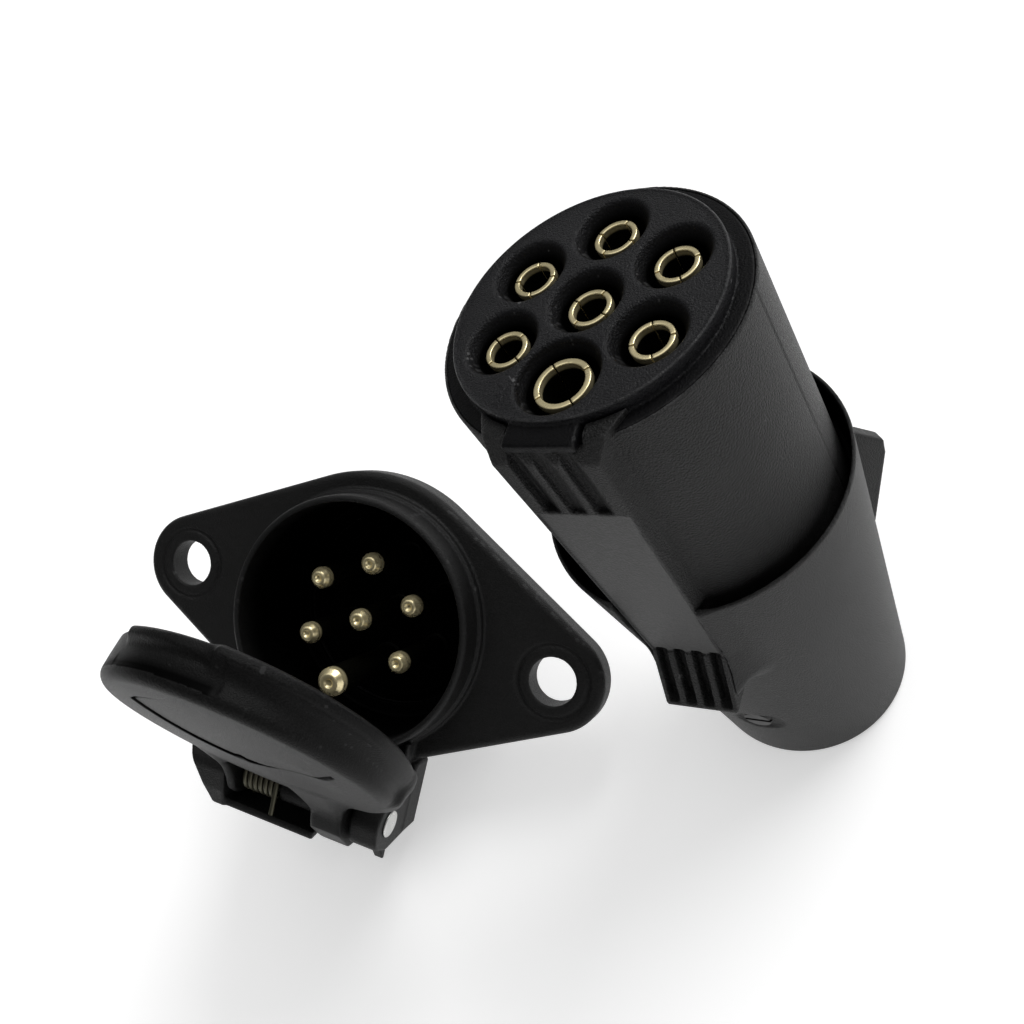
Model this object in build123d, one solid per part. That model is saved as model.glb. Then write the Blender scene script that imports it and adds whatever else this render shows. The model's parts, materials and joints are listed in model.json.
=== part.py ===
from build123d import *
from math import atan2, cos, degrees, hypot, radians, sin
import os

os.makedirs("parts", exist_ok=True)

# ---- seven-pole contact pattern, millimetres -------------------------------
PCD = 25.4
POLE_ANGLES = [270, 210, 150, 90, 30, 330]
PIN_R = 2.37
GROUND_PIN_R = 3.15
SLEEVE_R = 3.2
SLEEVE_BORE_R = 2.42
GROUND_SLEEVE_R = 4.1
GROUND_SLEEVE_BORE_R = 3.2

# ---- plug: axis on Z, rear end on z = 0, contact face at PLUG_L --------------
PLUG_L = 111.6
NOSE_R = 22.8
NOSE_L = 42.3
NOSE_BORE_R = 20.2
FACE_R = 20.7
FACE_T = 2.0
INSERT_L = 24.0
CONTACT_RECESS = 1.8
CONTACT_L = 34.0
CONE_R = 5.6
CONE_DEPTH = 1.9
WELL_R = 4.3
GROUND_CONE_R = 6.2
GROUND_WELL_R = 5.2
COLLAR_R = 25.5
COLLAR_LIP = 1.1
COLLAR_GAP_DEPTH = 6.0
REAR_R = 19.3
SLEEVE_WALL = 2.4
RIB_TOP_Y = 23.9
RIB_HALF_FRONT = 8.0
RIB_HALF_REAR = 6.3
RIB_FLANK = 1.6
RIB_START = 3.4
RIB_GROOVES_L = 12.6
RAMP_START = 57.0
RAMP_L = 11.0
RAMP_TOP_Y = 29.6
FIN_ANGLES = [45, 135]
FIN_T = 3.0
SCREW_Z = 19.6
END_HOLE_R = 12.6
CABLE_R = 6.3

# ---- socket: axis on local Z, flange back face on z = 0 -----------------------
HOLE_HALF_SPACING = 44.6
HOLE_R = 5.1
EAR_R = 11.0
FLANGE_R = 32.2
FLANGE_T = 6.2
BASE_RING_R = 28.45
BARREL_R = 27.4
CAVITY_R = 25.9
RIM_Z = 14.1
PIN_TIP_Z = 8.5
GROUND_TIP_Z = 15.7
SEAT_Z = -14.2
INSERT_R = 23.8
INSERT_T = 4.3
REAR_Z = -19.5
TUBE_R = 28.0
TUBE_END_R = 25.6
BOSS_ANGLES = [4, 124, 244]
BOSS_RING_R = 27.2
BOSS_R = 3.0
NECK_R = 11.0
GLAND_APOTHEM = 15.0
GLAND_T = 5.2
SOCKET_CABLE_R = 5.5

# ---- hinge and lid, in the socket frame with the lid closed -------------------
HINGE_Y = -37.5
HINGE_Z = 14.8
KNUCKLE_R = 5.7
PIN_HINGE_R = 2.2
PIN_HEAD_R = 2.9
EAR_RIGHT = (13.5, 20.0)
EAR_LEFT = (-20.5, -17.3)
LEG_RIGHT = (5.5, 13.1)
LEG_LEFT = (-16.9, -14.6)
RAIL_Y = -44.4
RAIL_Z = 17.0
BRACKET_BACK_Y = -42.2
BRACKET_FLARE = 0.45
RAIL_END_X = 10.0
TOE_X = (12.6, 15.0)
BRACKET_FOOT_Y = -53.36
LID_R = 30.2
LID_BORE_R = 28.6
LID_FLARE_R = 33.4
LID_SIDE_X = 30.5
LID_CENTRE_Y = -0.8
LID_SKIRT_Z = 10.6
LID_SEAT_Z = 15.3
LID_TOP_Z = 19.9
CROWN_R = 238.0
CROWN_Y = 9.0
LID_OPEN = 54.0

# ---- how the two halves lie on the table ------------------------------------
# Directions of the socket's own axes, with the plug upright and its rib to -Y.
SOCKET_X = (0.9376, -0.0629, -0.3419)
SOCKET_N = (0.2504, -0.5600, 0.7897)
TIP_XY = (-84.8, -18.15)


def cyl(radius, z0, z1, x=0.0, y=0.0):
    low = (Align.CENTER, Align.CENTER, Align.MIN)
    return Pos(x, y, z0) * Cylinder(radius, z1 - z0, align=low)


def ring(outer, inner, z0, z1, x=0.0, y=0.0):
    return cyl(outer, z0, z1, x, y) - cyl(inner, z0 - 0.5, z1 + 0.5, x, y)


def cone(r0, r1, z0, z1, x=0.0, y=0.0):
    low = (Align.CENTER, Align.CENTER, Align.MIN)
    return Pos(x, y, z0) * Cone(r0, r1, z1 - z0, align=low)


def block(x0, x1, y0, y1, z0, z1):
    return Pos((x0 + x1) / 2, (y0 + y1) / 2, (z0 + z1) / 2) * Box(x1 - x0, y1 - y0, z1 - z0)


def xcyl(radius, x0, x1, y, z):
    return Pos((x0 + x1) / 2, y, z) * Rot(0, 90, 0) * Cylinder(radius, x1 - x0)


def radial(radius, angle, r0, r1, z, x=0.0, y=0.0):
    """A small cylinder lying along a radius of the circle centred on (x, y)."""
    mid = (r0 + r1) / 2
    place = Pos(x + mid * cos(radians(angle)), y + mid * sin(radians(angle)), z)
    return place * Rot(0, 0, angle) * Rot(0, 90, 0) * Cylinder(radius, r1 - r0)


def lathe(points):
    """Turn a closed (radius, z) outline round the Z axis."""
    outline = [(r, 0, z) for r, z in points]
    return revolve(make_face(Polyline(*outline, close=True)), Axis.Z)


def pole(angle):
    return PCD / 2 * cos(radians(angle)), PCD / 2 * sin(radians(angle))


POLES = [("ground",) + pole(POLE_ANGLES[0])]
for number, angle in enumerate(POLE_ANGLES[1:], start=1):
    POLES.append((str(number),) + pole(angle))
POLES.append(("centre", 0.0, 0.0))


def screw(radius, head_r, length, head_t):
    """A pan-head screw, head underside on z = 0 and shank down -Z."""
    shank = cyl(radius, -length, 0)
    head = cone(head_r, head_r * 0.8, 0, head_t)
    slot = block(-head_r, head_r, -0.4, 0.4, head_t * 0.45, head_t + 1)
    return shank + head - slot


# =============================== the plug ===================================
def rib_slice(z, half, top_y, base_y):
    outline = [
        (-half - RIB_FLANK, -base_y, z),
        (-half, -top_y, z),
        (half, -top_y, z),
        (half + RIB_FLANK, -base_y, z),
    ]
    return make_face(Polyline(*outline, close=True))


def make_plug_body():
    z_face = PLUG_L - FACE_T
    z_low = PLUG_L - NOSE_L - 15.0
    tube = lathe([
        (NOSE_BORE_R, z_low), (NOSE_R, z_low), (NOSE_R, z_face - 1.2),
        (NOSE_R - 1.0, z_face), (NOSE_BORE_R, z_face),
    ])
    front = rib_slice(PLUG_L - RIB_START, RIB_HALF_FRONT, RIB_TOP_Y, 20.6)
    mid = rib_slice(PLUG_L - RAMP_START, RIB_HALF_REAR, RIB_TOP_Y + 0.5, 20.6)
    end = rib_slice(PLUG_L - RAMP_START - RAMP_L, RIB_HALF_REAR + 0.4, RAMP_TOP_Y, 20.6)
    rib = loft([front, mid]) + loft([mid, end])
    rib -= cyl(NOSE_BORE_R + 0.6, PLUG_L - 75, PLUG_L)
    body = tube + rib
    for x in (-3.9, 0.0, 3.9):
        tool = Rot(0, 0, 45) * Box(1.3, 1.3, RIB_GROOVES_L)
        z_mid = PLUG_L - RIB_START - RIB_GROOVES_L / 2 + 0.1
        body -= Pos(x * 1.0, -RIB_TOP_Y, z_mid) * tool
    slope = degrees(atan2(RAMP_TOP_Y - RIB_TOP_Y - 0.5, RAMP_L))
    for x in (-4.5, -1.5, 1.5, 4.5):
        tool = Rot(-slope, 0, 0) * Box(1.5, 2.6, RAMP_L * 1.4)
        y_mid = (RIB_TOP_Y + RAMP_TOP_Y) / 2 + 0.4
        body -= Pos(x, -y_mid, PLUG_L - RAMP_START - RAMP_L / 2 - 1.2) * tool
    # tongue down inside the rear sleeve, drilled for the sleeve screw
    body += block(-7.0, 7.0, -20.3, -13.6, z_low - 5.0, z_low + 1.5)
    body += block(-5.0, 5.0, -16.4, -13.6, 11.5, z_low)
    body -= Pos(0, -16, SCREW_Z) * Rot(90, 0, 0) * Cylinder(1.5, 8)
    # seat for the insert's snap tab
    body -= block(-5.8, 5.8, -23.6, -19.0, z_face - 0.01, PLUG_L)
    return body


def make_plug_insert():
    z_face = PLUG_L - FACE_T
    disc = lathe([
        (0, z_face), (FACE_R, z_face), (FACE_R, PLUG_L - 0.5),
        (FACE_R - 0.5, PLUG_L), (0, PLUG_L),
    ])
    body = disc + cyl(NOSE_BORE_R - 0.1, PLUG_L - INSERT_L, z_face + 0.2)
    body += block(-5.5, 5.5, -23.2, -19.0, z_face, PLUG_L - 0.7)
    for name, x, y in POLES:
        big = name == "ground"
        well = GROUND_WELL_R if big else WELL_R
        mouth = GROUND_CONE_R if big else CONE_R
        grip = (GROUND_SLEEVE_R if big else SLEEVE_R) + 0.03
        body -= cone(well, mouth + 0.02, PLUG_L - CONE_DEPTH, PLUG_L + 0.02, x, y)
        body -= cyl(well, PLUG_L - 12.0, PLUG_L - CONE_DEPTH + 0.01, x, y)
        body -= cyl(grip, PLUG_L - INSERT_L - 1, PLUG_L - 11.9, x, y)
    return body


def make_contact(name, x, y):
    big = name == "ground"
    outer = GROUND_SLEEVE_R if big else SLEEVE_R
    bore = GROUND_SLEEVE_BORE_R if big else SLEEVE_BORE_R
    top = PLUG_L - CONTACT_RECESS
    low = PLUG_L - CONTACT_L
    body = lathe([
        (0, low), (outer, low), (outer, top - 0.25), (outer - 0.25, top),
        (bore + 0.2, top), (bore, top - 0.3), (bore, top - 21), (0, top - 21),
    ])
    for turn in (20, 110):
        body -= Rot(0, 0, turn) * block(-outer - 1, outer + 1, -0.2, 0.2, top - 9.5, top + 1)
    body -= cyl(outer * 0.55, low - 1, low + 7)
    body = Pos(x, y, 0) * body
    angle = degrees(atan2(y, x)) if hypot(x, y) > 1 else 0.0
    return body - radial(1.25, angle, 0, outer + 2, low + 3.5, x, y)


def make_terminal_screws():
    screws = []
    for name, x, y in POLES:
        outer = GROUND_SLEEVE_R if name == "ground" else SLEEVE_R
        angle = degrees(atan2(y, x)) if hypot(x, y) > 1 else 0.0
        z = PLUG_L - CONTACT_L + 3.5
        body = radial(1.25, angle, outer * 0.7, outer + 0.8, z, x, y)
        screws.append(body)
    return Compound(children=screws)


def sleeve_radius(z):
    top = PLUG_L - NOSE_L
    return REAR_R + (COLLAR_R - REAR_R) * z / top


def make_rear_sleeve():
    top = PLUG_L - NOSE_L
    seat = top - COLLAR_GAP_DEPTH
    shelf = seat - 6.0
    body = lathe([
        (END_HOLE_R, 0), (REAR_R - 2.2, 0), (REAR_R - 0.6, 0.7), (REAR_R, 2.2),
        (COLLAR_R, top - 0.8), (COLLAR_R - 0.4, top), (COLLAR_R - COLLAR_LIP, top),
        (COLLAR_R - COLLAR_LIP - 0.3, seat), (NOSE_R + 0.1, seat), (NOSE_R + 0.1, shelf - 3.2),
        (sleeve_radius(shelf - 12) - SLEEVE_WALL, shelf - 14), (REAR_R - SLEEVE_WALL, 3.0),
        (END_HOLE_R, 3.0),
    ])
    for angle in FIN_ANGLES:
        fin = [
            (20.5, 0, 58.0), (25.0, 0, 57.6), (29.8, 0, 50.4), (30.5, 0, 48.1),
            (23.6, 0, 30.3), (20.5, 0, 28.0),
        ]
        plate = extrude(make_face(Polyline(*fin, close=True)), FIN_T / 2, both=True)
        fin_body = Rot(0, 0, angle) * plate
        body += fin_body - cone(REAR_R - 1.0, COLLAR_R - 1.4, 0, top)
    slot_half = RIB_HALF_REAR + RIB_FLANK + 0.9
    slot_low = PLUG_L - RAMP_START - RAMP_L - 0.3
    body -= block(-slot_half, slot_half, -40, -10, slot_low, top + 1)
    # oval recess and clearance hole for the sleeve screw
    y_wall = -sleeve_radius(SCREW_Z)
    recess = Pos(0, y_wall, SCREW_Z) * Rot(90, 0, 0) * Cylinder(3.4, 2.4)
    body -= recess + Pos(1.2, 0, 0) * recess
    body -= Pos(0, y_wall, SCREW_Z) * Rot(90, 0, 0) * Cylinder(1.75, 10)
    return body


def make_sleeve_screw():
    y_head = -sleeve_radius(SCREW_Z) + 1.2
    return Pos(0, y_head, SCREW_Z) * Rot(90, 0, 0) * screw(1.5, 3.0, 5.0, 1.0)


def make_plug_grommet():
    return lathe([
        (CABLE_R, 0.4), (END_HOLE_R - 0.1, 0.4), (END_HOLE_R - 0.1, 3.05), (15.4, 3.05),
        (15.4, 5.4), (CABLE_R + 1.2, 5.4), (CABLE_R, 4.6),
    ])


def make_clamp_half(side):
    """Half of the cable clamp: side -1 is bolted to the tongue, +1 is the loose bar."""
    y0, y1 = (-13.5, -0.6) if side < 0 else (0.6, 9.5)
    wide = 12.6
    body = block(-wide, wide, min(y0, y1), max(y0, y1), 6.4, 14.4)
    body -= cyl(CABLE_R + 0.4, 0, 30)
    body &= cyl(16.2, 0, 30)
    for x in (-9.6, 9.6):
        body -= Pos(x, 0, 10.4) * Rot(90, 0, 0) * Cylinder(1.5, 60)
    return body


def make_clamp_screws():
    screws = []
    for x in (-9.6, 9.6):
        place = Pos(x, 9.5, 10.4) * Rot(-90, 0, 0)
        screws.append(place * screw(1.5, 2.7, 16.0, 1.6))
    return Compound(children=screws)


# ============================== the socket ==================================
def flange_outline(z, grow=0.0):
    centre = Pos(0, 0, z) * Circle(FLANGE_R + grow)
    ears = []
    for x in (-HOLE_HALF_SPACING, HOLE_HALF_SPACING):
        ears.append(Pos(x, 0, z) * Circle(EAR_R + grow))
    return make_hull((centre + ears[0] + ears[1]).edges())


def make_bracket():
    """Hinge ears, bottom rail and the webs that tie them to the flange."""
    x0, x1 = EAR_LEFT[0], EAR_RIGHT[1]
    front_y = RAIL_Y - 1.7
    flare = BRACKET_FLARE * (front_y + 27.0)
    plan = [(x0, front_y), (x1, front_y), (x1, -27.0), (x0 + flare, -27.0)]
    body = extrude(make_face(Polyline(*plan, close=True)), FLANGE_T)
    body &= block(-60, 60, BRACKET_BACK_Y, 0, 0, FLANGE_T)
    rail = [
        (0, RAIL_Y, RAIL_Z), (0, front_y, RAIL_Z), (0, BRACKET_BACK_Y, 0), (0, -40.5, 0),
        (0, -40.5, FLANGE_T), (0, RAIL_Y + 0.6, FLANGE_T + 3.0),
    ]
    bar = extrude(make_face(Polyline(*rail, close=True)), (RAIL_END_X - x0) / 2, both=True)
    body += Pos((x0 + RAIL_END_X) / 2, 0, 0) * bar
    for ear, front in ((EAR_LEFT, (front_y, RAIL_Z)), (EAR_RIGHT, (-43.4, HINGE_Z - 1.0))):
        web = [
            (0, -27.0, FLANGE_T - 1), (0, -30.5, 12.0), (0, HINGE_Y + 3.4, HINGE_Z + 4.9),
            (0, HINGE_Y - 3.4, HINGE_Z + 4.9), (0, *front), (0, BRACKET_BACK_Y, 0),
            (0, -27.0, 0),
        ]
        plate = extrude(make_face(Polyline(*web, close=True)), 30, both=True)
        plate += xcyl(KNUCKLE_R, -30, 30, HINGE_Y, HINGE_Z)
        side = [(ear[0], front_y - 1), (ear[1], front_y - 1), (ear[1], -26.0), (ear[0], -26.0)]
        if ear is EAR_LEFT:
            side[3] = (ear[0] + flare, -26.0)
        body += plate & extrude(make_face(Polyline(*side, close=True)), 30)
    # toe that the socket leans on
    toe = [(0, -40.5, 0), (0, BRACKET_FOOT_Y, 0), (0, -43.6, 9.0), (0, -40.5, 9.0)]
    toe = extrude(make_face(Polyline(*toe, close=True)), (TOE_X[1] - TOE_X[0]) / 2, both=True)
    body += Pos((TOE_X[0] + TOE_X[1]) / 2, 0, 0) * toe
    body -= xcyl(PIN_HINGE_R, -30, x1 + 1, HINGE_Y, HINGE_Z)
    return body


def make_socket_housing():
    body = extrude(flange_outline(0), FLANGE_T)
    body = chamfer(body.faces().sort_by(Axis.Z)[-1].edges(), 0.9)
    body += cone(BASE_RING_R, BASE_RING_R - 0.6, FLANGE_T - 0.1, FLANGE_T + 1.6)
    body += lathe([
        (20, FLANGE_T - 0.1), (BARREL_R + 0.3, FLANGE_T - 0.1), (BARREL_R, RIM_Z - 0.9),
        (BARREL_R - 0.7, RIM_Z), (20, RIM_Z),
    ])
    body += lathe([(20, REAR_Z), (TUBE_END_R, REAR_Z), (TUBE_R, -12.5), (TUBE_R, 0.1), (20, 0.1)])
    for angle in BOSS_ANGLES:
        x = BOSS_RING_R * cos(radians(angle))
        y = BOSS_RING_R * sin(radians(angle))
        body += cyl(BOSS_R, REAR_Z, 0.1, x, y)
    body += make_bracket()
    for x in (-HOLE_HALF_SPACING, HOLE_HALF_SPACING):
        body -= cyl(HOLE_R, -1, FLANGE_T + 1, x, 0)
        body -= ring(8.0, 7.3, FLANGE_T - 0.35, FLANGE_T + 1, x, 0)
    body -= cyl(CAVITY_R, -12.0, RIM_Z + 1)
    body -= cyl(INSERT_R - 1.2, -14.0, -11.0)
    body -= cyl(INSERT_R + 0.05, REAR_Z - 1, -13.4)
    for angle in BOSS_ANGLES:
        x = BOSS_RING_R * cos(radians(angle))
        y = BOSS_RING_R * sin(radians(angle))
        body -= cyl(1.25, REAR_Z - 1, REAR_Z + 9, x, y)
    return body


def make_socket_insert():
    body = cyl(INSERT_R, SEAT_Z - INSERT_T, SEAT_Z)
    body += ring(21.2, 19.8, SEAT_Z - 0.1, SEAT_Z + 1.0)
    for name, x, y in POLES:
        body -= cyl((GROUND_PIN_R if name == "ground" else PIN_R) + 0.02, -40, 0, x, y)
    return body


def make_insert_seal():
    return ring(INSERT_R - 0.05, INSERT_R - 1.15, SEAT_Z, -13.4)


def make_pin(name, x, y):
    big = name == "ground"
    r = GROUND_PIN_R if big else PIN_R
    tip = GROUND_TIP_Z if big else PIN_TIP_Z
    low = REAR_Z - 2.8
    body = lathe([
        (0, low), (r + 0.45, low), (r + 0.45, SEAT_Z - INSERT_T), (r, SEAT_Z - INSERT_T),
        (r, SEAT_Z), (r + 0.7, SEAT_Z), (r + 0.7, SEAT_Z + 1.0), (r, SEAT_Z + 1.0),
        (r, tip - 1.3), (r * 0.86, tip - 0.5), (r * 0.55, tip), (0.55, tip), (0, tip - 0.45),
    ])
    body -= cyl(r * 0.62, low - 1, low + 3.2)
    body = Pos(x, y, 0) * body
    angle = degrees(atan2(y, x)) if hypot(x, y) > 1 else 0.0
    return body - radial(1.0, angle, 0, r + 2, low + 1.9, x, y)


def make_pin_screws():
    screws = []
    for name, x, y in POLES:
        r = GROUND_PIN_R if name == "ground" else PIN_R
        angle = degrees(atan2(y, x)) if hypot(x, y) > 1 else 0.0
        screws.append(radial(1.0, angle, r * 0.75, r + 1.1, REAR_Z - 0.9, x, y))
    return Compound(children=screws)


def make_rear_cover(end_z):
    body = lathe([
        (NECK_R - 2.2, end_z + 1.6), (NECK_R, end_z + 1.6), (NECK_R, end_z + GLAND_T),
        (17.5, end_z + GLAND_T), (24.3, REAR_Z - 1.6), (25.4, REAR_Z), (23.4, REAR_Z),
        (18.0, end_z + GLAND_T + 1.2), (NECK_R - 2.2, end_z + GLAND_T + 1.2),
    ])
    for angle in BOSS_ANGLES:
        x = BOSS_RING_R * cos(radians(angle))
        y = BOSS_RING_R * sin(radians(angle))
        body += cyl(BOSS_R, REAR_Z - 1.6, REAR_Z, x, y) - cyl(24.0, REAR_Z - 3, REAR_Z + 1)
    for angle in BOSS_ANGLES:
        x = BOSS_RING_R * cos(radians(angle))
        y = BOSS_RING_R * sin(radians(angle))
        body -= cyl(1.45, REAR_Z - 3, REAR_Z + 1, x, y)
    return body


def make_cover_screws():
    screws = []
    for angle in BOSS_ANGLES:
        x = BOSS_RING_R * cos(radians(angle))
        y = BOSS_RING_R * sin(radians(angle))
        place = Pos(x, y, REAR_Z - 1.6) * Rot(180, 0, 0)
        screws.append(place * screw(1.25, 2.5, 8.0, 1.4))
    return Compound(children=screws)


def make_gland_nut(end_z, flat_angle):
    hexagon = Rot(0, 0, flat_angle) * RegularPolygon(GLAND_APOTHEM, 6, major_radius=False, rotation=30)
    body = Pos(0, 0, end_z) * extrude(hexagon, GLAND_T - 0.1)
    return body - cyl(NECK_R + 0.05, end_z + 1.5, 0) - cyl(8.0, end_z - 1, 0)


def make_socket_grommet(end_z):
    return ring(NECK_R - 2.25, SOCKET_CABLE_R, end_z + 1.7, end_z + GLAND_T + 1.0)


def make_lid():
    body = lathe([
        (0, LID_SEAT_Z + 2.1), (20.0, LID_SEAT_Z + 1.4), (24.4, LID_SEAT_Z),
        (LID_BORE_R, LID_SEAT_Z), (LID_BORE_R, LID_SKIRT_Z),
        (LID_R - 0.4, LID_SKIRT_Z), (LID_R, LID_SKIRT_Z + 0.5), (LID_R, 15.6), (29.4, 17.4),
        (28.0, 18.4), (26.0, 19.0), (25.0, LID_TOP_Z + 0.5), (0, LID_TOP_Z + 0.5),
    ])
    # the skirt flares out along the right-hand side and ends in a shoulder by the hinge
    flare = cyl(LID_FLARE_R, LID_SKIRT_Z, LID_SKIRT_Z + 2.2) & block(3.0, LID_SIDE_X, -11.5, 40, 0, 30)
    shoulder = block(20.0, LID_SIDE_X, -19.5, -8.0, LID_SKIRT_Z, 16.0) & cyl(LID_SIDE_X + 1.0, 0, 30)
    rim = flare + shoulder - cyl(LID_BORE_R + 0.4, 0, 30)
    body = Pos(0, LID_CENTRE_Y, 0) * (body + rim)
    crown = Pos(0, CROWN_Y, LID_TOP_Z - CROWN_R) * Sphere(CROWN_R)
    body &= crown
    # thumb lip on the free edge, hollowed underneath
    lip = block(-17.5, 17.5, 18.0, 31.4, 13.2, 18.4)
    lip &= cyl(32.4, 0, 40, 0, LID_CENTRE_Y)
    lip -= cyl(LID_BORE_R + 0.1, 0, LID_SEAT_Z, 0, LID_CENTRE_Y)
    lip -= block(-15.5, 15.5, 28.9, 40, 10, 15.9)
    body += lip
    scoop = Pos(-4.5, 32.8, 15.6) * Rot(0, 90, 0) * Cylinder(4.3, 19.0)
    scoop += Pos(-14.0, 32.8, 15.6) * Sphere(4.3) + Pos(5.0, 32.8, 15.6) * Sphere(4.3)
    body -= scoop
    # two legs down to the hinge pin
    for leg in (LEG_LEFT, LEG_RIGHT):
        side = [
            (0, -20.0, LID_SEAT_Z + 2.0), (0, -20.0, 17.9), (0, HINGE_Y, HINGE_Z + KNUCKLE_R - 0.1),
            (0, HINGE_Y - 3.0, HINGE_Z - 2.0), (0, HINGE_Y + 3.0, HINGE_Z - 3.6),
            (0, -29.0, LID_SKIRT_Z + 0.2), (0, -28.0, LID_SEAT_Z + 2.0),
        ]
        plate = extrude(make_face(Polyline(*side, close=True)), (leg[1] - leg[0]) / 2, both=True)
        plate = Pos((leg[0] + leg[1]) / 2, 0, 0) * plate
        body += plate - cyl(LID_BORE_R + 0.1, 0, LID_SEAT_Z, 0, LID_CENTRE_Y)
        body += xcyl(KNUCKLE_R, leg[0], leg[1], HINGE_Y, HINGE_Z)
    body -= xcyl(PIN_HINGE_R + 0.12, -40, 40, HINGE_Y, HINGE_Z)
    # shallow lens-shaped field on the outer face, left blank
    lens = Pos(2, 9.0 + 23.0, 30) * Cylinder(31.0, 40) & Pos(2, 9.0 - 23.0, 30) * Cylinder(31.0, 40)
    return body - (lens - Pos(0, 0, -0.4) * crown)


def make_lid_seal():
    return ring(28.3, 24.9, RIM_Z + 0.05, LID_SEAT_Z, 0, LID_CENTRE_Y)


def make_hinge_pin():
    head_x = EAR_LEFT[0] + BRACKET_FLARE * (RAIL_Y - 1.7 - HINGE_Y)
    body = xcyl(PIN_HINGE_R, head_x - 1.3, EAR_RIGHT[1] + 0.5, HINGE_Y, HINGE_Z)
    body = chamfer(body.edges(), 0.25)
    head = xcyl(PIN_HEAD_R, EAR_RIGHT[1] + 0.02, EAR_RIGHT[1] + 0.5, HINGE_Y, HINGE_Z)
    return body + head


def make_torsion_spring():
    """Closely wound coil round the hinge pin with one leg on the rail and one on the lid."""
    coil_r = 3.35
    wire_r = 0.55
    pitch = 1.35
    turns = 4.5
    helix = Helix(pitch, pitch * turns, coil_r)
    start = helix @ 0
    wire = sweep(Plane(start, z_dir=helix % 0) * Circle(wire_r), path=helix, is_frenet=True)
    leg = Rot(90, 0, 0) * Cylinder(wire_r * 0.98, 6.3)
    coil = wire + Pos(coil_r, -3.05, 0) * leg
    coil += Pos(-coil_r, -3.05, pitch * turns) * leg
    return Pos(-13.6, HINGE_Y, HINGE_Z) * Rot(0, 90, 0) * coil


# ============================ place everything ==============================
nx, ny, nz = SOCKET_N
SOCKET_Y = Vector(nx, ny, nz).cross(Vector(*SOCKET_X)).normalized()
x_tilt = Vector(*SOCKET_X)
down_x = -x_tilt.Z
down_y = -SOCKET_Y.Z
lean = hypot(down_x, down_y)

# The socket leans on the corner of its hinge rail and on one flat of the gland nut.
corner_drop = TOE_X[1] * down_x + BRACKET_FOOT_Y * down_y
GLAND_END_Z = -(corner_drop - GLAND_APOTHEM * lean) / nz
FLAT_ANGLE = degrees(atan2(down_y, down_x))

plug = {
    "plug_body": make_plug_body(),
    "plug_insert": make_plug_insert(),
    "plug_rear_sleeve": make_rear_sleeve(),
    "plug_sleeve_screw": make_sleeve_screw(),
    "plug_terminal_screws": make_terminal_screws(),
    "plug_cable_grommet": make_plug_grommet(),
    "plug_clamp_base": make_clamp_half(-1),
    "plug_clamp_bar": make_clamp_half(1),
    "plug_clamp_screws": make_clamp_screws(),
}
socket = {
    "socket_housing": make_socket_housing(),
    "socket_insert": make_socket_insert(),
    "socket_insert_seal": make_insert_seal(),
    "socket_pin_screws": make_pin_screws(),
    "socket_rear_cover": make_rear_cover(GLAND_END_Z),
    "socket_cover_screws": make_cover_screws(),
    "socket_gland_nut": make_gland_nut(GLAND_END_Z, FLAT_ANGLE),
    "socket_cable_grommet": make_socket_grommet(GLAND_END_Z),
    "hinge_pin": make_hinge_pin(),
    "torsion_spring": make_torsion_spring(),
}
for name, x, y in POLES:
    plug["contact_" + name] = make_contact(name, x, y)
    socket["pin_" + name] = make_pin(name, x, y)

hinge_line = Axis((0, HINGE_Y, HINGE_Z), (1, 0, 0))
for name, shape in (("lid", make_lid()), ("lid_seal", make_lid_seal())):
    socket[name] = shape.rotate(hinge_line, LID_OPEN)

socket_plane = Plane((0, 0, 0), x_dir=SOCKET_X, z_dir=SOCKET_N)
tip = socket_plane.location * Pos(0, 0, PIN_TIP_Z)
lift = corner_drop
SOCKET_PLACE = Pos(
    TIP_XY[0] - tip.position.X, TIP_XY[1] - tip.position.Y, lift
) * socket_plane.location

parts = dict(plug)
for name, shape in socket.items():
    parts[name] = SOCKET_PLACE * shape

boxes = [shape.bounding_box() for shape in parts.values()]
x_mid = (min(b.min.X for b in boxes) + max(b.max.X for b in boxes)) / 2
y_mid = (min(b.min.Y for b in boxes) + max(b.max.Y for b in boxes)) / 2
z_low = min(b.min.Z for b in boxes)
SHIFT = Pos(-x_mid, -y_mid, -z_low)

for name, shape in parts.items():
    export_step(SHIFT * shape, f"parts/{name}.step")

if __name__ == "__main__":
    print("gland end", round(GLAND_END_Z, 2), "lift", round(lift, 2), "lowest", round(z_low, 3))
    print("shift", round(-x_mid, 3), round(-y_mid, 3), round(-z_low, 3))
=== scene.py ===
import json
import math
import bpy
import numpy as np
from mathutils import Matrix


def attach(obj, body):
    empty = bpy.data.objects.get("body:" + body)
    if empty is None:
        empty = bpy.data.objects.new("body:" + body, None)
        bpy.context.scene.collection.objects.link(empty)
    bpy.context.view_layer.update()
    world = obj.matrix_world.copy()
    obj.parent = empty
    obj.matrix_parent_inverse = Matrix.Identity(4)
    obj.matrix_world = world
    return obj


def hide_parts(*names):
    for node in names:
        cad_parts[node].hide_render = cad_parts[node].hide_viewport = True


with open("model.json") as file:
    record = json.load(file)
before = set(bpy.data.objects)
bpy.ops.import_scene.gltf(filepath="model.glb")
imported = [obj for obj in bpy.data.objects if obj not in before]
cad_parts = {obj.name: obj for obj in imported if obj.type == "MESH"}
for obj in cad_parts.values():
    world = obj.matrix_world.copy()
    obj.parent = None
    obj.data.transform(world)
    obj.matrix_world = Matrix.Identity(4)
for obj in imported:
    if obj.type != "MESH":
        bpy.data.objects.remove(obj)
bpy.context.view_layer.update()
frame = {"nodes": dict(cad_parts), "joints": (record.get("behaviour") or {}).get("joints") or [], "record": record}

import openvdb
from mathutils import Matrix, Vector

MM = 0.001
F = np.float32
record = frame["record"]
mounts = {m["name"]: m for m in record["mounts"]}
lid_joint = [j for j in frame["joints"] if j["name"] == "lid_hinge"][0]


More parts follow.
